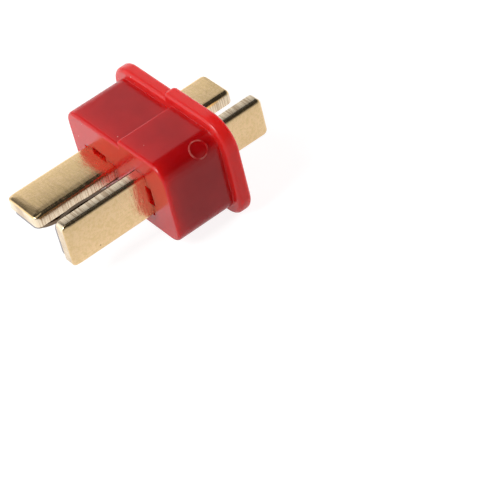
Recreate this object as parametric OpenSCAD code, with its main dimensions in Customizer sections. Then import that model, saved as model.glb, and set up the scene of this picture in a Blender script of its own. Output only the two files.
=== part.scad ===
// T-plug battery connector, plug half.
// X runs across the housing, Y along the mating direction and Z up.
// The origin is the centre of the mating face: the blades stand out towards -Y
// and the solder tabs towards +Y.

/* [Housing] */
// Width of the body, without the flange
body_w = 14.7; // [13.5:0.1:18]
// Length of the body, from the mating face to the flange
body_len = 5.95; // [5.5:0.05:10]
// Height of the low half, which holds the flat blade
low_h = 7.5; // [6.4:0.05:9]
// How far the tall half stands above the low half
tall_rise = 0.6; // [0.2:0.05:1.2]
// How far the tall half reaches below the low half
tall_drop = 0.3; // [0.25:0.05:1.2]
// Distance from the middle of the body to the tall half
step_x = 0.75; // [0.5:0.05:1.2]
// Radius of the tall half's upper corner
crown_r = 1.9; // [1:0.05:2.2]
// Radius of the body's other long corners
corner_r = 1.5; // [0.8:0.05:2]
// Radius along the edge where the tall half steps off the low half
step_r = 0.3; // [0.3:0.05:0.5]
// Rounding around the mating face
rim_r = 0.2; // [0.1:0.05:0.25]

/* [Flange] */
// How far the flange stands out around the body
flange_over = 0.95; // [0.6:0.05:1.5]
// Thickness of the flange
flange_t = 1.35; // [1:0.05:2]
// Rounding of the flange's two edges
flange_r = 0.4; // [0.2:0.05:0.45]
// Radius along the flange's own step
flange_step_r = 0.55; // [0.5:0.05:0.6]

/* [Contact strips] */
// Thickness of the strip that both contacts are stamped from
strip_t = 1.3; // [0.9:0.05:1.4]
// Width of a blade
blade_w = 4.55; // [4.3:0.05:5]
// Length of a blade in front of the mating face
blade_len = 8.6; // [7:0.05:11]
// Radius of the corners at a blade's tip
tip_r = 0.55; // [0.55:0.05:1.2]
// Width of a solder tab
tab_w = 3.95; // [3.6:0.05:4.2]
// Length of a solder tab behind the flange
tab_len = 5.6; // [4:0.05:9]
// Radius of the corners at a tab's end
tab_r = 0.55; // [0.55:0.05:1.2]
// Depth from the mating face to the shoulder where the blade becomes the tab
seat_depth = 4.6; // [4:0.1:5]
// Radius of the corners at the shoulder
seat_r = 0.6; // [0.55:0.05:0.8]
// Rounding that the punch leaves along the edges of the contact face
roll_r = 0.45; // [0.2:0.05:0.5]
// Rounding of the edges on the other side
burr_r = 0.08; // [0.05:0.01:0.15]
// Across position of the flat blade's middle
flat_x = -3.1; // [-3.4:0.05:-2.8]
// Height of the flat blade's contact face
flat_face_z = 0.6; // [0:0.05:0.8]
// Across position of the upright blade's contact face
upright_face_x = 4.1; // [3.8:0.05:4.4]
// Height of the upright blade's middle
upright_z = -0.05; // [-0.4:0.05:0.4]

/* [Leaf springs] */
// Width of a leaf
leaf_w = 4; // [3:0.1:4.2]
// Thickness of a leaf
leaf_t = 0.35; // [0.2:0.05:0.5]
// Depth of a leaf's bow
leaf_bow = 0.45; // [0.3:0.05:0.6]
// Length of the leaf's foot inside the housing
leaf_foot = 3.4; // [2.5:0.1:3.8]
// Length of the leaf's flat in front of the mating face, before the bow
leaf_root = 1.6; // [0.6:0.05:2]
// Length of the flat at the leaf's free end
leaf_flat = 0.5; // [0.3:0.05:1.2]
// Radius of the corners at the leaf's free end
leaf_r = 0.75; // [0.3:0.05:1]
// How far the leaf's end stays behind the blade's tip
leaf_setback = 0.08; // [0.05:0.01:0.4]

/* [Slots] */
// Width of the open channel along each contact face
channel_w = 2; // [1.4:0.1:2.6]
// Depth of that channel above the contact face
channel_d = 0.45; // [0.2:0.05:0.8]
// Length of that channel from the mating face
channel_len = 3.8; // [2:0.1:4.2]
// Clearance around each strip and leaf in its slot
slot_clear = 0.05; // [0.02:0.01:0.1]
// Gap between a leaf's foot and its blade
leaf_clear = 0.02; // [0.01:0.01:0.05]

/* [Hidden] */
$fn = 96;

plastic = [0.74, 0.1, 0.1];
gold = [0.88, 0.74, 0.45];
steel = [0.66, 0.66, 0.68];

// How far a cut runs past the face that it opens
past = 0.5;
half_w = body_w / 2;
half_h = low_h / 2;
flange_rear = body_len + flange_t;
tab_end = flange_rear + tab_len;

// The bow of a leaf spans these two places, in front of the mating face.
leaf_end = leaf_setback - blade_len;
bow_start = leaf_end + leaf_flat;
bow_end = -leaf_root;
bow_steps = 24;

// Section across a plate's edge: it reaches from X = 0 out to X = reach, with both rims rounded.
module edge_section(reach, thick, under_r, face_r)
  intersection() {
    square([reach, thick]);
    union() {
      polygon([
        [0, 0],
        [reach - under_r, 0],
        [reach, under_r],
        [reach, thick - face_r],
        [reach - face_r, thick],
        [0, thick]
      ]);
      translate([reach - under_r, under_r])
        circle(under_r);
      translate([reach - face_r, thick - face_r])
        circle(face_r);
    }
  }

// A plate from height 0 up, with straight sides, round corners and rounded rims. Its corners
// run counter-clockwise as [x, y, radius], where radius 0 marks an inner corner.
module plate(corners, thick, under_r, face_r) {
  last = len(corners) - 1;
  places = [for (c = corners) [c[0], c[1]]];
  radii = [for (c = corners) c[2]];
  rim = max(under_r, face_r);
  reach = (rim + min([for (r = radii) if (r > 0) r])) / 2;
  lap = (reach - rim) / 2;
  ways = [for (i = [0:last]) unit(places[i == last ? 0 : i + 1] - places[i])];
  outs = [for (way = ways) [way[1], -way[0]]];
  // Both sides at a corner face this way, taken together.
  diagonals = [for (i = [0:last]) outs[i] + outs[i == 0 ? last : i - 1]];
  centres = [for (i = [0:last]) places[i] - radii[i] * diagonals[i]];
  // The inner part laps into the sides and the corners around it.
  linear_extrude(thick)
    polygon([
      for (i = [0:last])
        each radii[i] == 0 ? [places[i] + (lap - reach) * diagonals[i]] : [
          centres[i] + lap * diagonals[i] + (radii[i] - reach) * (diagonals[i] - outs[i]),
          centres[i] + lap * diagonals[i],
          centres[i] + lap * diagonals[i] + (radii[i] - reach) * outs[i]
        ]
    ]);
  for (i = [0:last]) {
    next = i == last ? 0 : i + 1;
    start = places[i] + ways[i] * side_start(radii[i], reach);
    end = places[next] - ways[i] * side_start(radii[next], reach);
    translate(end - reach * outs[i])
      rotate(atan2(outs[i][1], outs[i][0]))
        rotate([90, 0, 0])
          linear_extrude(norm(end - start))
            edge_section(reach, thick, under_r, face_r);
    if (radii[i] > 0)
      translate(centres[i])
        rotate(atan2(outs[i][1], outs[i][0]) - 90)
          rotate_extrude(angle = 90)
            edge_section(radii[i], thick, under_r, face_r);
  }
}

function unit(v) = v / norm(v);

// A side starts where the corner's round ends. At an inner corner it runs on into the plate.
function side_start(radius, reach) = radius > 0 ? radius : -reach;

// The keyed form of the housing, grown on every side: a low half and a tall half side by side.
module keyed(grow, from, to, rim, inner_r) {
  side = half_w + grow;
  low_edge = half_h + grow;
  top = low_edge + tall_rise;
  bottom = -low_edge - tall_drop;
  outer_r = corner_r + grow;
  step = step_x - grow;
  translate([0, to, 0])
    rotate([90, 0, 0])
      plate([
        [-side, -low_edge, outer_r],
        [step, -low_edge, 0],
        [step, bottom, inner_r],
        [side, bottom, outer_r],
        [side, top, crown_r + grow],
        [step, top, inner_r],
        [step, low_edge, 0],
        [-side, low_edge, outer_r]
      ], to - from, rim, rim);
}

// A tongue drawn in plan: straight at one end, with round corners at the other.
module tongue(left, right, base, end, r) {
  translate([left, end + r])
    square([right - left, base - end - r]);
  translate([left + r, end])
    square([right - left - 2 * r, r]);
  for (x = [left + r, right - r])
    translate([x, end + r])
      circle(r);
}

// A strip lies with its contact face at height 0 and its middle at X = 0. The blade and the
// tab share one straight edge: the right one for edge = 1, the left one for edge = -1.
function tab_left(edge) = edge > 0 ? blade_w / 2 - tab_w : -blade_w / 2;

module strip(edge) {
  side = blade_w / 2;
  tip = [
    [-side, -blade_len, tip_r],
    [side, -blade_len, tip_r]
  ];
  tab = [
    [tab_left(edge) + tab_w, tab_end, tab_r],
    [tab_left(edge), tab_end, tab_r]
  ];
  right_shoulder = [
    [side, seat_depth, seat_r],
    [tab_left(edge) + tab_w, seat_depth, 0]
  ];
  left_shoulder = [
    [tab_left(edge), seat_depth, 0],
    [-side, seat_depth, seat_r]
  ];
  translate([0, 0, -strip_t])
    plate(edge > 0 ? concat(tip, tab, left_shoulder) : concat(tip, right_shoulder, tab),
      strip_t, burr_r, roll_r);
}

// Height of the bow at a share of its span: it rises fast at the tip and runs out at the root.
function bow_z(share) = -leaf_bow * 27 / 4 * share * pow(1 - share, 2);

// One long edge of a leaf's profile, from its end at the tip to its foot.
function leaf_edge(z) = [
  [leaf_end, z],
  for (i = [0:bow_steps])
    [bow_start + i / bow_steps * (bow_end - bow_start), z + bow_z(i / bow_steps)],
  [leaf_foot, z]
];

function turned(points) = [for (i = [len(points) - 1:-1:0]) points[i]];

// A leaf lies under its strip: a flat foot in the housing, a bow, and a flat end at the tip.
module leaf()
  translate([0, 0, -strip_t - leaf_clear])
    intersection() {
      translate([-leaf_w / 2, 0, 0])
        rotate([90, 0, 90])
          linear_extrude(leaf_w)
            polygon(concat(leaf_edge(0), turned(leaf_edge(-leaf_t))));
      translate([0, 0, -leaf_t - leaf_bow - past])
        linear_extrude(leaf_t + leaf_bow + 2 * past)
          tongue(-leaf_w / 2, leaf_w / 2, leaf_foot, leaf_end, leaf_r);
    }

// A straight cut along Y, from a depth in the housing to another.
module slot(left, right, low, high, from, to)
  translate([left, from, low])
    cube([right - left, to - from, high - low]);

// All that is cut out of the housing for one strip and its leaf.
module strip_pocket(edge) {
  tab_from = tab_left(edge) - slot_clear;
  tab_to = tab_left(edge) + tab_w + slot_clear;
  blade_side = blade_w / 2 + slot_clear;
  leaf_side = leaf_w / 2 + slot_clear;
  under = -strip_t - slot_clear;
  leaf_under = -strip_t - leaf_clear - leaf_t - slot_clear;
  slot(-blade_side, blade_side, under, slot_clear, -past, seat_depth);
  slot(tab_from, tab_to, under, slot_clear, seat_depth - past, flange_rear + past);
  slot(-channel_w / 2, channel_w / 2, -strip_t / 2, channel_d, -past, channel_len);
  slot(-leaf_side, leaf_side, leaf_under, -strip_t / 2, -past, leaf_foot + slot_clear);
}

// Places of the two strips: the flat one faces up, the upright one faces +X.
module at_flat()
  translate([flat_x, 0, flat_face_z])
    children();

module at_upright()
  translate([upright_face_x, 0, upright_z])
    rotate([0, 90, 0])
      children();

module housing()
  color(plastic)
    difference() {
      union() {
        keyed(0, 0, flange_rear - flange_t / 2, rim_r, step_r);
        keyed(flange_over, body_len, flange_rear, flange_r, flange_step_r);
      }
      at_flat()
        strip_pocket(1);
      at_upright()
        strip_pocket(-1);
    }

module flat_blade()
  color(gold)
    at_flat()
      strip(1);

module upright_blade()
  color(gold)
    at_upright()
      strip(-1);

module flat_spring()
  color(steel)
    at_flat()
      leaf();

module upright_spring()
  color(steel)
    at_upright()
      leaf();

housing();
flat_blade();
upright_blade();
flat_spring();
upright_spring();
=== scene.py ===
"""Finish and stage of a T-plug battery connector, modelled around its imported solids."""
import math
from contextlib import contextmanager

import bmesh
import bpy
from bpy.props import FloatProperty, FloatVectorProperty, IntProperty, PointerProperty
from mathutils import Matrix, Vector


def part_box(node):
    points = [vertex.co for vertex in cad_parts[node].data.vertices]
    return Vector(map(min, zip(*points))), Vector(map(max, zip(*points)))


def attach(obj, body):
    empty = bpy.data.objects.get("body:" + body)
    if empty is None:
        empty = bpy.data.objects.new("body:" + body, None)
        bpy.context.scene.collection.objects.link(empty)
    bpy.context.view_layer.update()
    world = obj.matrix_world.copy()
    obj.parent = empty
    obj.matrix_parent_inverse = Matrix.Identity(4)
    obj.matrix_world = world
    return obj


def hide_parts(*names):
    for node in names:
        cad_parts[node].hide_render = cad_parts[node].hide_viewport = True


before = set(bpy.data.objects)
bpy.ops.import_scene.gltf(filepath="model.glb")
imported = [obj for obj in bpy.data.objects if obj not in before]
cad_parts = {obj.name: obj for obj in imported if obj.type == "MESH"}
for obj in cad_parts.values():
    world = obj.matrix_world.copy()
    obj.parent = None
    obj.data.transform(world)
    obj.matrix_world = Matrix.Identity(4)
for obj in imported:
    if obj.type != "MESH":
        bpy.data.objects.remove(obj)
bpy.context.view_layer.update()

bl_info = {
    "name": "T-plug battery connector",
    "version": (1, 0, 0),
    "blender": (4, 5, 0),
    "location": "3D View > Sidebar > T-plug",
    "description": "Models the plug's housing, stamped blades and leaf springs, and its stage",
    "category": "Add Mesh",
}

BODY = "root"
MM = 0.001
X, Y, Z = 0, 1, 2
# Two places that are nearer than this are one
TINY = 0.002 * MM
# How far a cutter runs past the face that it opens
PAST = 0.5 * MM
# Cosine from which two directions count as one
ALIGNED = 0.99
# Faces that turn by less than this are one flat face
FLAT_ANGLE = math.radians(0.5)
# Faces that turn by less than this are shaded as one
SMOOTH_ANGLE = math.radians(35)
# Faces that turn by more than this meet at a fold, in radians
FOLD_ANGLE = 0.6

# Strips: the blade's node, its leaf's node, the axis across the strip and the axis through it
STRIPS = (
    ("flat_blade", "flat_spring", X, Z),
    ("upright_blade", "upright_spring", Z, X),
)


def reach(node, keep):
    """Lowest and highest corner of the kept vertices of a CAD node."""
    places = [v.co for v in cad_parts[node].data.vertices if keep(v.co)]
    low = Vector([min(p[axis] for p in places) for axis in (X, Y, Z)])
    high = Vector([max(p[axis] for p in places) for axis in (X, Y, Z)])
    return low, high


# Places that the solids give: the mating face is at Y = 0, and the flange's rear ends the housing
FLANGE_LOW, FLANGE_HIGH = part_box("housing")
REAR = FLANGE_HIGH.y
BODY_LOW, BODY_HIGH = reach("housing", lambda p: p.y < REAR / 2)
FLANGE_FRONT = reach("housing", lambda p: p.x > BODY_HIGH.x + TINY)[0].y
FLANGE_OVER = FLANGE_HIGH.x - BODY_HIGH.x
LOW_HALF = reach("housing", lambda p: p.y < REAR / 2 and p.x < 0)
LOW_BOTTOM, LOW_TOP = (corner.z for corner in LOW_HALF)
SEAT = reach("flat_blade", lambda p: 0 < p.y < REAR)[1].y


# Settings


def length(name, description, millimetres):
    """A size, kept in metres."""
    return FloatProperty(
        name=name,
        description=description,
        default=millimetres * MM,
        min=0,
        precision=6,
        unit="LENGTH",
    )


def angle(name, description, degrees):
    """An angle, kept in radians."""
    return FloatProperty(
        name=name, description=description, default=math.radians(degrees), unit="ROTATION"
    )


def share(name, description, value):
    """A plain number from 0 to 1."""
    return FloatProperty(
        name=name, description=description, default=value, min=0, max=1, subtype="FACTOR"
    )


def power(name, description, watts):
    """The power of a lamp."""
    return FloatProperty(name=name, description=description, default=watts, min=0, unit="POWER")


def point(name, description, metres):
    """A place in the scene."""
    return FloatVectorProperty(
        name=name, description=description, default=metres, precision=6, subtype="TRANSLATION"
    )


def colour(name, description, value):
    """A colour."""
    return FloatVectorProperty(
        name=name, description=description, default=value, size=4, min=0, max=1, subtype="COLOR"
    )


class HousingSettings(bpy.types.PropertyGroup):
    """Sizes and colours of the moulded housing"""
    step_x: length("Step", "Across position where the tall half begins", 0.75)
    crown_round: length("Crown radius", "Radius of the tall half's upper corner", 1.9)
    corner_round: length("Corner radius", "Radius of the body's other long corners", 1.5)
    step_round: length("Step radius", "Radius along the edge of the body's step", 0.3)
    flange_step_round: length("Flange step radius", "Radius along the flange's own step", 0.55)
    rim_round: length("Rim radius", "Radius around the mating face", 0.3)
    flange_round: length("Flange radius", "Radius around both edges of the flange", 0.4)
    fillet: length("Fillet", "Radius between the body and the flange", 0.05)
    slot_round: length("Slot radius", "Radius around the mouths of the slots", 0.02)
    slot_clear: length("Slot clearance", "Gap around each strip and leaf in its slot", 0.008)
    channel_width: length("Channel width", "Width of the open channel along a contact face", 2)
    channel_depth: length("Channel depth", "Depth of that channel above the contact face", 0.45)
    channel_length: length("Channel length", "Length of that channel from the mating face", 3.8)
    ring_radius: length("Ring radius", "Radius of the plain moulded ring on the crown", 0.8)
    ring_width: length("Ring width", "Width of that ring's line", 0.12)
    ring_height: length("Ring height", "How far the ring stands out", 0.1)
    ring_y: length("Ring place", "Distance of the ring from the mating face", 4.2)
    plastic: colour("Plastic", "Colour of the moulded plastic", (0.6, 0.005, 0.008, 1))
    plastic_deep: colour("Deep plastic", "Colour of its darker clouds", (0.52, 0.003, 0.006, 1))
    # Painted glow: this paler colour over the flange and behind the mating face stands in for light
    # that gets through the plastic; the next two settings set it at the mating face
    plastic_painted_glow: colour("Thin plastic", "Colour where light gets through", (0.78, 0.03, 0.027, 1))
    front_glow: share("Front glow", "How much light gets through at the mating face", 0.25)
    glow_depth: length("Glow depth", "How deep that light reaches behind the mating face", 1.8)
    # Painted highlight: this pale colour on the ring stands in for light caught on its edges
    plastic_highlight: colour("Highlit plastic", "Colour of the ring where it is rubbed", (0.72, 0.16, 0.14, 1))
    speck: colour("Specks", "Colour of the plastic's few pale specks", (0.8, 0.3, 0.26, 1))
    segments: IntProperty(
        name="Segments", description="Faces across a long rounded corner", default=14, min=4, max=32
    )


class BladeSettings(bpy.types.PropertyGroup):
    """Sizes and colours of the stamped strips"""
    tip_round: length("Tip radius", "Radius of the corners at a blade's tip", 0.55)
    tab_round: length("Tab radius", "Radius of the corners at a tab's end", 0.55)
    roll: length("Die roll", "Radius that the die leaves around the contact face", 0.45)
    crown_width: length("Crown width", "Width of a contact face's sloping borders", 0.55)
    crown_drop: length("Crown drop", "How far those borders slope down", 0.045)
    lead_length: length("Lead length", "Length of the slope that leads a blade's tip in", 0.9)
    lead_drop: length("Lead drop", "How far the contact face slopes down at the tip", 0.2)
    tip_edge: length("Tip edge", "Radius between that slope and the blade's end", 0.12)
    back_round: length("Back radius", "Radius around the strip's other face", 0.1)
    tooth_pitch: length("Tooth pitch", "Distance between two cuts of the sheared edges", 0.11)
    tooth_depth: length("Tooth depth", "Depth between the ridges of the sheared edges", 0.012)
    gold: colour("Gold", "Colour of the plating", (1.0, 0.72, 0.41, 1))
    gold_deep: colour("Deep gold", "Colour of the plating's darker clouds", (0.9, 0.65, 0.33, 1))
    pit: colour("Pits", "Colour of the plating's few small pits", (0.3, 0.19, 0.08, 1))
    sheared: colour("Sheared gold", "Colour of the plating on the sheared edges", (1.0, 0.84, 0.62, 1))
    # Painted shade: this darker colour in the grooves stands in for the shade that falls there
    groove_shade: colour("Grooves", "Colour in the grooves of the sheared edges", (0.68, 0.52, 0.35, 1))


class SpringSettings(bpy.types.PropertyGroup):
    """Sizes and colours of the leaf springs"""
    edge_round: length("Edge radius", "Radius along a leaf's edges", 0.02)
    steel: colour("Steel", "Colour of the bare steel at a leaf's end", (0.36, 0.34, 0.36, 1))
    # Painted shade: this dark brown stands in for the shade on the leaf in the gap between the blades
    steel_shade: colour("Steel shade", "Colour of the steel where it is tarnished", (0.24, 0.16, 0.09, 1))
    bare_length: length("Bare length", "Length of the bare steel at a leaf's end", 0.3)


class StageSettings(bpy.types.PropertyGroup):
    """Camera, floor and lights"""
    lens: FloatProperty(
        name="Lens", description="Camera's focal length", default=179.85, min=10, unit="CAMERA"
    )
    azimuth: angle("Azimuth", "Camera's turn about Z", 61.361)
    elevation: angle("Elevation", "Camera's height over the floor", 41.085)
    roll: angle("Roll", "Camera's turn about its own axis", -14.711)
    camera_place: point("Camera place", "Camera's place", (0.144787, -0.069491, 0.129305))
    floor: colour("Floor", "Colour of the floor", (0.3, 0.3, 0.3, 1))
    floor_glow: share("Floor glow", "Light of its own that makes the floor read as white", 0.88)
    floor_bounce: share("Floor bounce", "That light where it falls on the part from below", 0.25)
    floor_far: share("Far floor glow", "That light on the right, as mirror rays see it", 0.45)
    floor_contact: share("Contact glow", "What is left of it under the housing's low half", 0.45)
    room: share("Room", "Level of the dark upper room", 0.03)
    wall: share("Wall", "Level of the low pale walls", 0.35)
    window: share("Window", "Level of the bright side, at the front left", 1.0)
    panel: share("Panel", "Level of the panel at the rear left", 0.8)
    ceiling: share("Ceiling", "Level of the small patch straight above", 0.5)
    key_place: point("Key place", "Place of the key light, high at the front", (0.01, -0.21, 0.2))
    key_size: length("Key size", "Width of the key light", 120)
    key_power: power("Key power", "Power of the key light", 0.5)
    rear_place: point("Rear place", "Place of the light low behind the part", (-0.03, 0.28, 0.06))
    rear_size: length("Rear size", "Width of the rear light", 100)
    rear_power: power("Rear power", "Power of the rear light", 0.5)


# Modelling helpers


def select_only(*objects):
    """Leaves just these objects selected, with the last one active."""
    bpy.ops.object.select_all(action="DESELECT")
    for obj in objects:
        obj.select_set(True)
        bpy.context.view_layer.objects.active = obj


@contextmanager
def edit_mode(obj):
    """Edits one mesh, and goes back to object mode."""
    select_only(obj)
    bpy.ops.object.mode_set(mode="EDIT")
    yield
    bpy.ops.object.mode_set(mode="OBJECT")


def pick(kind, test):
    """Selects just those edges or faces of the edited mesh that pass a test."""
    bpy.ops.mesh.select_mode(type=kind)
    bpy.ops.mesh.select_all(action="DESELECT")
    data = bpy.context.edit_object.data
    mesh = bmesh.from_edit_mesh(data)
    mesh.normal_update()
    for part in mesh.edges if kind == "EDGE" else mesh.faces:
        if test(part):
            part.select_set(True)
    mesh.select_flush_mode()
    bmesh.update_edit_mesh(data)


def near(a, b):
    """Whether two lengths are the same."""
    return abs(a - b) < TINY


def unit(axis):
    """The unit vector along an axis."""
    return Vector([axis == other for other in (X, Y, Z)])


def along(edge, axis):
    """Whether an edge runs along an axis."""
    span = edge.verts[1].co - edge.verts[0].co
    return abs(span[axis]) > ALIGNED * span.length


def lies_at(edge, axis, place):
    """Whether both ends of an edge lie at a place on an axis."""
    return all(near(v.co[axis], place) for v in edge.verts)


def is_fold(edge, convex=True):
    """Whether two faces meet at an edge with a clear fold, outwards or inwards."""
    if len(edge.link_faces) != 2:
        return False
    return edge.calc_face_angle() > FOLD_ANGLE and edge.is_convex == convex


def bevel(offset, segments):
    """Rounds the selected edges."""
    bpy.ops.mesh.bevel(
        offset_type="OFFSET", offset=offset, segments=segments, profile=0.5, affect="EDGES"
    )


def cut_all(axis, place):
    """Cuts the whole edited mesh at a place on an axis, and keeps both sides."""
    bpy.ops.mesh.select_all(action="SELECT")
    bpy.ops.mesh.bisect(plane_co=place * unit(axis), plane_no=unit(axis))


def merge_flats():
    """Makes one face of those that lie in one plane, all over the edited mesh."""
    bpy.ops.mesh.select_all(action="SELECT")
    bpy.ops.mesh.dissolve_limited(angle_limit=FLAT_ANGLE)


def add_block(name, low, high):
    """Adds a box between two corners."""
    low, high = Vector(low), Vector(high)
    bpy.ops.object.select_all(action="DESELECT")
    bpy.ops.mesh.primitive_cube_add(size=1, location=(low + high) / 2, scale=high - low)
    bpy.ops.object.transform_apply(location=True, rotation=True, scale=True)
    bpy.context.object.name = name
    return bpy.context.object


def add_rod(name, radius, depth, place, axis, sides=96):
    """Adds a round bar with its middle at a place."""
    turn = Vector((0, 0, 1)).rotation_difference(Vector(axis)).to_euler()
    bpy.ops.object.select_all(action="DESELECT")
    bpy.ops.mesh.primitive_cylinder_add(
        vertices=sides, radius=radius, depth=depth, location=place, rotation=turn
    )
    bpy.ops.object.transform_apply(location=True, rotation=True, scale=True)
    bpy.context.object.name = name
    return bpy.context.object


def combine(piece, other, operation):
    """Joins, cuts or intersects a piece with another mesh, which is then removed."""
    select_only(piece)
    cut = piece.modifiers.new(operation.lower(), "BOOLEAN")
    cut.operation = operation
    cut.solver = "EXACT"
    cut.object = other
    bpy.ops.object.modifier_apply(modifier=cut.name)
    bpy.data.objects.remove(other)


def smooth(piece):
    """Shades the rounds smooth and keeps the flat faces flat."""
    select_only(piece)
    bpy.ops.object.shade_smooth_by_angle(angle=SMOOTH_ANGLE)
    weigh = piece.modifiers.new("flat faces", "WEIGHTED_NORMAL")
    weigh.keep_sharp = True
    bpy.ops.object.modifier_apply(modifier=weigh.name)


def box_of(piece):
    """Lowest and highest corner of a piece."""
    return Vector(piece.bound_box[0]), Vector(piece.bound_box[6])


def hand_in(piece, name, node):
    """Names a finished piece, which stands for a CAD node and rides with it."""
    piece.name = name
    piece.data.name = name
    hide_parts(node)
    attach(piece, BODY)


# Materials


def start_material(name):
    """A new material with an empty node tree, and its object coordinates."""
    material = bpy.data.materials.new(name)
    material.use_nodes = True
    tree = material.node_tree
    tree.nodes.clear()
    return material, tree, tree.nodes.new("ShaderNodeTexCoord").outputs["Object"]


def add_node(tree, kind, inputs, **settings):
    """Adds a shader node, and fills its inputs with values or with the outputs of other nodes."""
    made = tree.nodes.new("ShaderNode" + kind)
    for name, value in settings.items():
        setattr(made, name, value)
    for name, value in inputs.items():
        if isinstance(value, bpy.types.NodeSocket):
            tree.links.new(value, made.inputs[name])
        else:
            made.inputs[name].default_value = value
    return made


def maths(tree, operation, *values):
    """One step of arithmetic on numbers or on the outputs of other nodes."""
    return add_node(tree, "Math", dict(enumerate(values)), operation=operation).outputs[0]


def noise(tree, coords, per_metre=1, detail=3, stretch=(1, 1, 1)):
    """A noise with so many bumps per metre, which may be stretched along the axes."""
    mapped = add_node(tree, "Mapping", {"Vector": coords, "Scale": stretch}).outputs[0]
    inputs = {"Vector": mapped, "Scale": per_metre, "Detail": detail}
    return add_node(tree, "TexNoise", inputs).outputs["Fac"]


def spread(tree, value, low, high, start=0.3, end=0.7):
    """Maps the range from start to end, or the middle of a noise, to another range."""
    inputs = {"Value": value, "From Min": start, "From Max": end, "To Min": low, "To Max": high}
    return add_node(tree, "MapRange", inputs).outputs[0]


def blend(tree, factor, first, second):
    """Mixes two colours."""
    # The Mix node's colour sockets share their names with others, so they go by number
    return add_node(tree, "Mix", {0: factor, 6: first, 7: second}, data_type="RGBA").outputs[2]


def bump(tree, height, strength, distance):
    """A bump from a height, in metres."""
    inputs = {"Height": height, "Strength": strength, "Distance": distance}
    return add_node(tree, "Bump", inputs).outputs[0]


def spots(tree, coords, per_metre, rarity, size):
    """A mask of small round spots, in those few cells that a high rarity leaves."""
    cells = add_node(tree, "TexVoronoi", {"Vector": coords, "Scale": per_metre}).outputs
    chosen = maths(tree, "GREATER_THAN", cells["Color"], rarity)
    dot = maths(tree, "LESS_THAN", cells["Distance"], size)
    return maths(tree, "MULTIPLY", chosen, dot)


def show(tree, surface):
    """Makes a shader the surface of its material."""
    output = tree.nodes.new("ShaderNodeOutputMaterial")
    tree.links.new(surface, output.inputs["Surface"])


def moulded_plastic(settings):
    """Red nylon: cloudy and translucent, with a few pale specks, and with painted glow: a paler colour
    over the flange and behind the mating face stands in for light that gets through there.
    """
    material, tree, coords = start_material("moulded_red_plastic")
    clouds = spread(tree, noise(tree, coords, per_metre=450, detail=4), 0, 1)
    body = blend(tree, clouds, settings.plastic_deep, settings.plastic)
    depth = add_node(tree, "SeparateXYZ", {0: coords}).outputs[Y]
    # Painted glow: a mask that is 1 over the flange and fades from the mating face inwards, which turns
    # the colour paler there
    soft = settings.flange_round
    flange = spread(tree, depth, 0, 1, start=FLANGE_FRONT - soft, end=FLANGE_FRONT + soft)
    front = spread(tree, depth, settings.front_glow, 0, start=0, end=settings.glow_depth)
    glow_mask = maths(tree, "MAXIMUM", flange, front)
    specks = spots(tree, coords, per_metre=800, rarity=0.55, size=0.045)
    shade = blend(tree, glow_mask, body, settings.plastic_painted_glow)
    satin = noise(tree, coords, per_metre=3500, detail=4)
    surface = add_node(tree, "BsdfPrincipled", {
        "Base Color": blend(tree, specks, shade, settings.speck),
        "Roughness": spread(tree, satin, 0.16, 0.26),
        "IOR": 1.5,
        "Specular IOR Level": 0.45,
        "Subsurface Weight": spread(tree, specks, 1, 0, start=0, end=1),
        "Subsurface Radius": (1.0, 0.1, 0.06),
        "Subsurface Scale": 2.6 * MM,
        "Normal": bump(tree, satin, strength=0.35, distance=0.02 * MM),
    })
    show(tree, surface.outputs[0])
    return material


def ring_highlight_plastic(settings):
    """The same nylon on the raised ring, with a painted highlight: pale patches that stand in for light
    caught on its edges.
    """
    material, tree, coords = start_material("red_plastic_painted_highlight")
    # Pale patches of painted highlight, where the noise is high
    highlit = spread(tree, noise(tree, coords, per_metre=1400), 0, 1, start=0.4, end=0.62)
    surface = add_node(tree, "BsdfPrincipled", {
        "Base Color": blend(tree, highlit, settings.plastic, settings.plastic_highlight),
        "Roughness": spread(tree, highlit, 0.3, 0.4),
        "Normal": bump(tree, highlit, strength=0.2, distance=0.004 * MM),
    })
    show(tree, surface.outputs[0])
    return material


def plated_gold(settings):
    """Gold plate on rolled strip: satin, brushed across the strip, mottled and with a few pits."""
    material, tree, coords = start_material("gold_plate_satin")
    clouds = noise(tree, coords, per_metre=350)
    grain = noise(tree, coords, detail=4, stretch=(900, 4500, 900))
    pores = noise(tree, coords, per_metre=3600)
    # The pores are shallow beside the grain, but the mottling comes from them first
    height = maths(tree, "MULTIPLY_ADD", pores, 0.12, grain)
    tone = maths(tree, "MULTIPLY_ADD", clouds, 0.5, pores)
    mottling = spread(tree, tone, 0, 1, start=0.62, end=0.88)
    plate = blend(tree, mottling, settings.gold_deep, settings.gold)
    pits = spots(tree, coords, per_metre=700, rarity=0.6, size=0.05)
    surface = add_node(tree, "BsdfPrincipled", {
        "Base Color": blend(tree, pits, plate, settings.pit),
        "Metallic": 1.0,
        "Roughness": spread(tree, height, 0.14, 0.28, start=0.36, end=0.76),
        "Normal": bump(tree, height, strength=0.6, distance=0.02 * MM),
    })
    show(tree, surface.outputs[0])
    return material


def sheared_gold(settings):
    """The same plate on the sheared edges, grooved by the die through the thickness, with painted
    shade: a darker colour in the grooves.
    """
    material, tree, coords = start_material("gold_plate_sheared")
    ridges = noise(tree, coords, stretch=(250, 8500, 250))
    # The grooves between the ridge tops take the painted shade
    tops = spread(tree, ridges, 0, 1, start=0.4, end=0.52)
    surface = add_node(tree, "BsdfPrincipled", {
        "Base Color": blend(tree, tops, settings.groove_shade, settings.sheared),
        "Metallic": 1.0,
        "Roughness": spread(tree, ridges, 0.3, 0.2),
        "Normal": bump(tree, ridges, strength=0.25, distance=0.015 * MM),
    })
    show(tree, surface.outputs[0])
    return material


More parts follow.
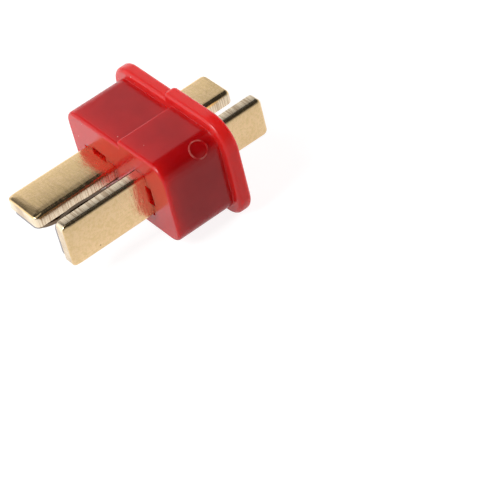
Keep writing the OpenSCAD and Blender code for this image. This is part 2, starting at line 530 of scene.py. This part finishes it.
def spring_steel(settings):
    """Rolled steel with fine lines along the leaf, bare at its sheared end and painted dark brown
    behind it. The brown is painted shade, dark as the leaf lies in the gap between the blades.
    """
    material, tree, coords = start_material("spring_steel_painted_shade")
    lines = noise(tree, coords, stretch=(9000, 250, 9000))
    depth = add_node(tree, "SeparateXYZ", {0: coords}).outputs[Y]
    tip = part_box("flat_spring")[0].y
    bare = settings.bare_length
    # The painted shade starts just behind the leaf's bare end
    beyond_bare = spread(tree, depth, 0, 1, start=tip + 0.5 * bare, end=tip + bare)
    darkened = maths(tree, "MULTIPLY", beyond_bare, spread(tree, lines, 1, 0.7))
    surface = add_node(tree, "BsdfPrincipled", {
        "Base Color": blend(tree, darkened, settings.steel, settings.steel_shade),
        "Metallic": 1.0,
        "Roughness": spread(tree, lines, 0.4, 0.5),
        "Normal": bump(tree, lines, strength=0.25, distance=0.005 * MM),
    })
    show(tree, surface.outputs[0])
    return material


# Housing


def keyed_bar(name, grow, start, end, step_rounds, settings):
    """A bar with the keyed section, grown on every side: a low half beside a tall half."""
    step = settings.step_x - grow
    left, right = BODY_LOW.x - grow, BODY_HIGH.x + grow
    low_bottom, low_top = LOW_BOTTOM - grow, LOW_TOP + grow
    bottom, top = BODY_LOW.z - grow, BODY_HIGH.z + grow
    corner = settings.corner_round + grow
    bar = add_block(name, (left, start, low_bottom), (right, end, low_top))
    with edit_mode(bar):
        cut_all(X, step)
        for up, rise in ((1, top - low_top), (-1, low_bottom - bottom)):
            pick("FACE", lambda f: f.normal.z * up > ALIGNED and f.calc_center_median().x > step)
            bpy.ops.mesh.extrude_region_move(TRANSFORM_OT_translate={"value": (0, 0, up * rise)})
        merge_flats()
        rounds = (
            (left, low_bottom, corner),
            (left, low_top, corner),
            (right, bottom, corner),
            (right, top, settings.crown_round + grow),
            (step, top, step_rounds[0]),
            (step, bottom, step_rounds[1]),
        )
        for x, z, radius in rounds:
            if not radius:
                continue
            pick("EDGE", lambda e: along(e, Y) and lies_at(e, X, x) and lies_at(e, Z, z))
            bevel(radius, settings.segments)
    return bar


def round_rims(bar, places, radius, segments):
    """Rounds the edges around those ends of a bar that lie at these places along Y."""
    with edit_mode(bar):
        pick("EDGE", lambda e: is_fold(e) and any(lies_at(e, Y, place) for place in places))
        bevel(radius, segments)


def keyed_shell(settings):
    """The body and its flange in one, with the fillet between them."""
    # The body's lower step is rounded over most of its height, and the flange's is left sharp
    lower_round = 0.9 * (LOW_BOTTOM - BODY_LOW.z)
    body_steps = (settings.step_round, lower_round)
    flange_steps = (settings.flange_step_round, 0)
    body = keyed_bar("body", 0, 0, (FLANGE_FRONT + REAR) / 2, body_steps, settings)
    round_rims(body, [0], settings.rim_round, segments=5)
    flange = keyed_bar("flange", FLANGE_OVER, FLANGE_FRONT, REAR, flange_steps, settings)
    round_rims(flange, [FLANGE_FRONT, REAR], settings.flange_round, segments=7)
    combine(body, flange, "UNION")
    with edit_mode(body):
        pick("EDGE", lambda e: is_fold(e, convex=False) and lies_at(e, Y, FLANGE_FRONT))
        bevel(settings.fillet, segments=3)
    return body


def slot_blocks(blade, spring, across, through, settings):
    """Cutters for one strip: its blade, its tab, its leaf and the channel along its face."""
    clear = Vector([settings.slot_clear] * 3)
    blade_low, blade_high = reach(blade, lambda p: p.y < SEAT + TINY)
    tab_low, tab_high = reach(blade, lambda p: p.y > REAR)
    leaf_low, leaf_high = reach(spring, lambda p: p.y > 0)
    channel_low, channel_high = blade_low.copy(), blade_high.copy()
    middle = (blade_low[across] + blade_high[across]) / 2
    channel_low[across] = middle - settings.channel_width / 2
    channel_high[across] = middle + settings.channel_width / 2
    channel_low[through] = (blade_low[through] + blade_high[through]) / 2
    channel_high[through] += settings.channel_depth
    spans = (
        (blade_low - clear, blade_high + clear, -PAST, SEAT),
        (tab_low - clear, tab_high + clear, SEAT - PAST, REAR + PAST),
        (leaf_low - clear, leaf_high + clear, -PAST, leaf_high.y + clear.y),
        (channel_low, channel_high, -PAST, settings.channel_length),
    )
    for low, high, start, end in spans:
        yield add_block("slot", (low.x, start, low.z), (high.x, end, high.z))


def crown_middle(settings):
    """Middle of the rounded crown, beside the ring."""
    inwards = settings.crown_round
    return Vector((BODY_HIGH.x - inwards, settings.ring_y, BODY_HIGH.z - inwards))


def ring_mark(settings):
    """A plain ring that stands a little proud of the rounded crown."""
    out = Vector((1, 0, 1)).normalized()
    axis = crown_middle(settings)
    top = axis + out * settings.crown_round
    # A short tube is cut down to a skin around the crown. The skin has more sides than the
    # tube, which lets the ring come out closed.
    tube_length, bore_length, skin_length = 1.6 * MM, 2 * MM, 4 * MM
    outer = settings.ring_radius + settings.ring_width / 2
    inner = settings.ring_radius - settings.ring_width / 2
    ring = add_rod("ring", outer, tube_length, top, out)
    combine(ring, add_rod("bore", inner, bore_length, top, out), "DIFFERENCE")
    skin_radius = settings.crown_round + settings.ring_height
    skin = add_rod("skin", skin_radius, skin_length, axis, (0, 1, 0), sides=100)
    combine(ring, skin, "INTERSECT")
    return ring


def paint_ring_highlight(housing, settings):
    """Gives the faces that stand proud of the crown the second material slot, which holds the painted
    highlight.
    """
    middle = crown_middle(settings)
    span = settings.ring_radius + settings.ring_width
    proud = 0.3 * settings.ring_height
    for face in housing.data.polygons:
        away = face.center - middle
        height = math.hypot(away.x, away.z) - settings.crown_round
        on_crown = min(away.x, away.z) > 0 and abs(away.y) < span
        if on_crown and height > proud:
            face.material_index = 1


class TPLUG_OT_housing(bpy.types.Operator):
    """Model the moulded housing"""
    bl_idname = "tplug.housing"
    bl_label = "Housing"

    def execute(self, context):
        settings = context.scene.tplug_housing
        housing = keyed_shell(settings)
        combine(housing, ring_mark(settings), "UNION")
        for blade, spring, across, through in STRIPS:
            for block in slot_blocks(blade, spring, across, through, settings):
                combine(housing, block, "DIFFERENCE")
        with edit_mode(housing):
            pick("EDGE", lambda e: is_fold(e) and (lies_at(e, Y, 0) or lies_at(e, Y, REAR)))
            bevel(settings.slot_round, segments=2)
        housing.data.materials.append(moulded_plastic(settings))
        housing.data.materials.append(ring_highlight_plastic(settings))
        # The ring's proud faces take the material with the painted highlight
        paint_ring_highlight(housing, settings)
        smooth(housing)
        hand_in(housing, "moulded_housing", "housing")
        return {"FINISHED"}


# Blades


def stamped_strip(blade, across, through, settings):
    """A blade and its tab in one strip, with the die's roll around the contact face."""
    blade_low, blade_high = reach(blade, lambda p: p.y < SEAT + TINY)
    tab_low, tab_high = reach(blade, lambda p: p.y > REAR)
    flush_high = near(tab_high[across], blade_high[across])
    inner = tab_low if flush_high else tab_high
    middle = (tab_low[across] + tab_high[across]) / 2
    ends = ((blade_low.y, settings.tip_round), (tab_high.y, settings.tab_round))
    back, contact = blade_low[through], blade_high[through]
    faces = ((contact, settings.roll, 7), (back, settings.back_round, 3))
    strip = add_block("strip", blade_low, (blade_high.x, SEAT, blade_high.z))
    with edit_mode(strip):
        cut_all(across, inner[across])
        pick("FACE", lambda f: f.normal.y > ALIGNED and near(f.calc_center_median()[across], middle))
        tab_length = tab_high.y - SEAT
        bpy.ops.mesh.extrude_region_move(TRANSFORM_OT_translate={"value": (0, tab_length, 0)})
        merge_flats()
        for end, radius in ends:
            pick("EDGE", lambda e: along(e, through) and lies_at(e, Y, end))
            bevel(radius, segments=10)
        for face, radius, segments in faces:
            pick("EDGE", lambda e: is_fold(e) and lies_at(e, through, face))
            bevel(radius, segments)
    return strip


def slice_strip(strip, across, settings):
    """Cuts a strip into short lengths, and marks off the borders of its contact face."""
    low, high = box_of(strip)
    cuts = []
    place = low.y + settings.tip_round
    while place < high.y - settings.tab_round:
        if not 0 < place < REAR:
            cuts.append((Y, place))
        place += settings.tooth_pitch
    for part in (0, 0.5, 1):
        border = settings.roll + part * settings.crown_width
        cuts += [(across, low[across] + border), (across, high[across] - border)]
    with edit_mode(strip):
        for axis, place in cuts:
            cut_all(axis, place)


def ease(value):
    """Goes smoothly from 0 to 1."""
    value = min(max(value, 0), 1)
    return value * value * (3 - 2 * value)


def crown_face(strip, across, through, settings):
    """Slopes a blade's contact face down to its sides and tip, and sharpens the tip's edge."""
    low, high = box_of(strip)
    edge, corner = settings.tip_edge, settings.tip_round
    # The lead-in slope gets steeper towards the tip by this power
    steepness = 1.5
    for vertex in strip.data.vertices:
        place = vertex.co
        fall = high[through] - place[through]
        if fall > settings.roll + TINY or place.y > 0:
            continue
        side = min(place[across] - low[across], high[across] - place[across])
        ahead = place.y - low.y
        crown = settings.crown_drop * ease(1 - (side - settings.roll) / settings.crown_width)
        lead = settings.lead_drop * max(0, 1 - ahead / settings.lead_length) ** steepness
        outwards = Vector((max(corner - side, 0), max(corner - ahead, 0)))
        inside = max(corner - outwards.length, 0)
        tip = ease(outwards.y / max(outwards.x + outwards.y, TINY))
        rounded = edge - math.sqrt(edge ** 2 - max(edge - inside, 0) ** 2)
        rolled = fall + (lead + crown) * (1 - fall / settings.roll)
        place[through] = high[through] - tip * (rounded + lead) - (1 - tip) * rolled


def tooth_edges(strip, across, settings):
    """Draws the sheared sides of a strip in unevenly, as a worn die leaves them."""
    with edit_mode(strip):
        pick("FACE", lambda f: abs(f.normal[across]) > ALIGNED)
        group = strip.vertex_groups.new(name="sheared")
        bpy.ops.object.vertex_group_assign()
    ridges = bpy.data.textures.new("ridges", "CLOUDS")
    ridges.noise_scale = 1
    bpy.ops.object.select_all(action="DESELECT")
    bpy.ops.object.empty_add(location=(0, 0, 0))
    ruler = bpy.context.object
    # The clouds are short along the strip and long through it, so that they read as ridges
    ridge_width, ridge_length = 2 * settings.tooth_pitch, 40 * settings.tooth_pitch
    ruler.scale = (ridge_length, ridge_width, ridge_length)
    bpy.context.view_layer.update()
    select_only(strip)
    draw = strip.modifiers.new("ridges", "DISPLACE")
    draw.texture = ridges
    draw.texture_coords = "OBJECT"
    draw.texture_coords_object = ruler
    draw.vertex_group = group.name
    draw.mid_level = 1
    draw.strength = settings.tooth_depth
    bpy.ops.object.modifier_apply(modifier=draw.name)
    bpy.data.objects.remove(ruler)
    bpy.data.textures.remove(ridges)


def shear_sides(strip, through):
    """Gives the sides, which turn little towards the strip's faces, the second material slot."""
    most_turn = 0.3
    for face in strip.data.polygons:
        if abs(face.normal[through]) < most_turn:
            face.material_index = 1


class TPLUG_OT_blades(bpy.types.Operator):
    """Model the two stamped strips"""
    bl_idname = "tplug.blades"
    bl_label = "Blades"

    def execute(self, context):
        settings = context.scene.tplug_blades
        finishes = (plated_gold(settings), sheared_gold(settings))
        for blade, _, across, through in STRIPS:
            strip = stamped_strip(blade, across, through, settings)
            slice_strip(strip, across, settings)
            crown_face(strip, across, through, settings)
            tooth_edges(strip, across, settings)
            for material in finishes:
                strip.data.materials.append(material)
            shear_sides(strip, through)
            smooth(strip)
            hand_in(strip, "plated_" + blade, blade)
        return {"FINISHED"}


# Leaf springs


class TPLUG_OT_springs(bpy.types.Operator):
    """Model the two leaf springs"""
    bl_idname = "tplug.springs"
    bl_label = "Springs"

    def execute(self, context):
        settings = context.scene.tplug_springs
        material = spring_steel(settings)
        for _, spring, _, _ in STRIPS:
            select_only(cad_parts[spring])
            bpy.ops.object.duplicate()
            leaf = context.object
            with edit_mode(leaf):
                bpy.ops.mesh.select_all(action="SELECT")
                bpy.ops.mesh.remove_doubles(threshold=TINY)
                merge_flats()
                pick("EDGE", is_fold)
                bevel(settings.edge_round, segments=2)
            leaf.data.materials.clear()
            leaf.data.materials.append(material)
            smooth(leaf)
            hand_in(leaf, "bowed_" + spring, spring)
        return {"FINISHED"}


# Stage

# Width of the floor, in metres
FLOOR_SIZE = 4
# Distances from the part over which the floor's own light rises to white
GLOW_RISE = (30 * MM, 120 * MM)
# Places along X over which that light falls off to the right, as mirror rays see it
GLOW_FALL = (-4 * MM, 14 * MM)
# Share of the housing's footprint over which the contact shade is full
CONTACT_CORE = 0.85

# Patches of the room's light: the setting of its level, its direction, and the two cosines to
# that direction between which it goes from nothing to full
ROOM_LIGHT = (
    ("wall", (0, 0, -1), -0.5, -0.2),
    ("window", (-0.5, -0.8, 0.3), 0.65, 0.95),
    ("panel", (-0.88, 0.3, 0.38), 0.84, 1.0),
    ("ceiling", (0, -0.05, 1), 0.95, 0.99),
)


def contact_shade(tree, place):
    """A mask that is 1 on the floor under the low half of the housing, and 0 beside it."""
    mask = 1.0
    for axis, low, high in ((X, BODY_LOW.x, 0), (Y, 0, REAR)):
        middle, half = (low + high) / 2, (high - low) / 2
        offset = maths(tree, "ABSOLUTE", maths(tree, "SUBTRACT", place[axis], middle))
        inside = spread(tree, offset, 1, 0, start=CONTACT_CORE * half, end=half)
        mask = maths(tree, "MULTIPLY", mask, inside)
    return mask


def white_floor(tree, coords, surface, settings):
    """Adds light of its own to the floor, so that it reads as white to camera and mirror rays."""
    path = tree.nodes.new("ShaderNodeLightPath").outputs
    place = add_node(tree, "SeparateXYZ", {0: coords}).outputs
    away = add_node(tree, "VectorMath", {0: coords}, operation="LENGTH").outputs["Value"]
    open_floor = spread(tree, away, settings.floor_glow, 1.0, *GLOW_RISE)
    left = spread(tree, contact_shade(tree, place), 1, settings.floor_contact, start=0, end=1)
    seen = maths(tree, "MULTIPLY", open_floor, left)
    mirrored = spread(tree, place[X], settings.floor_glow, settings.floor_far, *GLOW_FALL)
    level = 0.0
    for ray, strength in (
        ("Is Camera Ray", seen),
        ("Is Diffuse Ray", settings.floor_bounce),
        ("Is Glossy Ray", mirrored),
        ("Is Transmission Ray", mirrored),
    ):
        level = maths(tree, "MULTIPLY_ADD", path[ray], strength, level)
    glow = add_node(tree, "Emission", {"Color": (1, 1, 1, 1), "Strength": level})
    return add_node(tree, "AddShader", {0: surface, 1: glow.outputs[0]}).outputs[0]


def add_floor(settings):
    """A wide pale floor under the part's lowest point."""
    bpy.ops.object.select_all(action="DESELECT")
    bpy.ops.mesh.primitive_plane_add(size=FLOOR_SIZE, location=(0, 0, FLANGE_LOW.z))
    floor = bpy.context.object
    floor.name = "floor"
    material, tree, coords = start_material("pale_floor")
    paint = add_node(tree, "BsdfDiffuse", {"Color": settings.floor})
    show(tree, white_floor(tree, coords, paint.outputs[0], settings))
    floor.data.materials.append(material)


def lobe(tree, ways, towards, start, end, level):
    """A soft patch of the room's light around one direction."""
    inputs = {0: ways, 1: Vector(towards).normalized()}
    facing = add_node(tree, "VectorMath", inputs, operation="DOT_PRODUCT").outputs["Value"]
    inputs = {"Value": facing, "From Min": start, "From Max": end, "To Min": 0.0, "To Max": level}
    return add_node(tree, "MapRange", inputs, interpolation_type="SMOOTHSTEP").outputs[0]


def add_world(settings):
    """A white backdrop for the camera, and for all else a dim room with patches of light."""
    world = bpy.data.worlds.new("studio")
    bpy.context.scene.world = world
    world.use_nodes = True
    tree = world.node_tree
    tree.nodes.clear()
    ways = tree.nodes.new("ShaderNodeTexCoord").outputs["Generated"]
    level = settings.room
    for name, towards, start, end in ROOM_LIGHT:
        patch = lobe(tree, ways, towards, start, end, getattr(settings, name))
        level = maths(tree, "ADD", level, patch)
    seen = tree.nodes.new("ShaderNodeLightPath").outputs["Is Camera Ray"]
    strength = add_node(tree, "MapRange", {"Value": seen, "To Min": level, "To Max": 1.0})
    inputs = {"Color": (1, 1, 1, 1), "Strength": strength.outputs[0]}
    glow = add_node(tree, "Background", inputs)
    output = tree.nodes.new("ShaderNodeOutputWorld")
    tree.links.new(glow.outputs[0], output.inputs["Surface"])


def add_softbox(name, place, size, watts, mirrored=True):
    """A square lamp that faces the part, and may be left out of its reflections."""
    lamp = bpy.data.lights.new(name, "AREA")
    lamp.size = size
    lamp.energy = watts
    box = bpy.data.objects.new(name, lamp)
    bpy.context.scene.collection.objects.link(box)
    box.location = place
    box.rotation_euler = (-Vector(place)).to_track_quat("-Z", "Y").to_euler()
    box.visible_glossy = mirrored


def add_camera(settings):
    """The camera at the photograph's viewing angle."""
    camera = bpy.data.objects.new("camera", bpy.data.cameras.new("camera"))
    bpy.context.scene.collection.objects.link(camera)
    camera.data.lens = settings.lens
    camera.data.sensor_width = 36
    camera.data.clip_start = 0.01
    camera.data.clip_end = 10
    flat = math.cos(settings.elevation)
    back = Vector((
        math.sin(settings.azimuth) * flat,
        -math.cos(settings.azimuth) * flat,
        math.sin(settings.elevation),
    ))
    aim = back.to_track_quat("Z", "Y").to_matrix() @ Matrix.Rotation(settings.roll, 3, "Z")
    camera.matrix_world = Matrix.Translation(settings.camera_place) @ aim.to_4x4()
    bpy.context.scene.camera = camera


class TPLUG_OT_stage(bpy.types.Operator):
    """Set up the floor, lights and camera"""
    bl_idname = "tplug.stage"
    bl_label = "Stage"

    def execute(self, context):
        settings = context.scene.tplug_stage
        add_floor(settings)
        add_world(settings)
        key = (settings.key_place, settings.key_size, settings.key_power)
        rear = (settings.rear_place, settings.rear_size, settings.rear_power)
        add_softbox("key_light", *key)
        add_softbox("rear_light", *rear, mirrored=False)
        add_camera(settings)
        context.scene.view_settings.view_transform = "Standard"
        return {"FINISHED"}


class TPLUG_PT_panel(bpy.types.Panel):
    """Steps and sizes of the plug"""
    bl_label = "T-plug"
    bl_idname = "TPLUG_PT_panel"
    bl_space_type = "VIEW_3D"
    bl_region_type = "UI"
    bl_category = "T-plug"

    def draw(self, context):
        for operator, group in STEPS:
            box = self.layout.box()
            box.operator(operator.bl_idname)
            settings = getattr(context.scene, group)
            for name in settings.__annotations__:
                box.prop(settings, name)


STEPS = (
    (TPLUG_OT_housing, "tplug_housing"),
    (TPLUG_OT_blades, "tplug_blades"),
    (TPLUG_OT_springs, "tplug_springs"),
    (TPLUG_OT_stage, "tplug_stage"),
)
GROUPS = {
    "tplug_housing": HousingSettings,
    "tplug_blades": BladeSettings,
    "tplug_springs": SpringSettings,
    "tplug_stage": StageSettings,
}
CLASSES = (*GROUPS.values(), *(operator for operator, _ in STEPS), TPLUG_PT_panel)


def register():
    """Registers the classes, and gives each scene its settings."""
    for cls in CLASSES:
        bpy.utils.register_class(cls)
    for name, group in GROUPS.items():
        setattr(bpy.types.Scene, name, PointerProperty(type=group))


def unregister():
    """Takes the settings and the classes away again."""
    for name in GROUPS:
        delattr(bpy.types.Scene, name)
    for cls in reversed(CLASSES):
        bpy.utils.unregister_class(cls)


def main():
    """Builds every piece and the stage."""
    register()
    bpy.ops.tplug.housing()
    bpy.ops.tplug.blades()
    bpy.ops.tplug.springs()
    bpy.ops.tplug.stage()


if __name__ == "__main__":
    main()
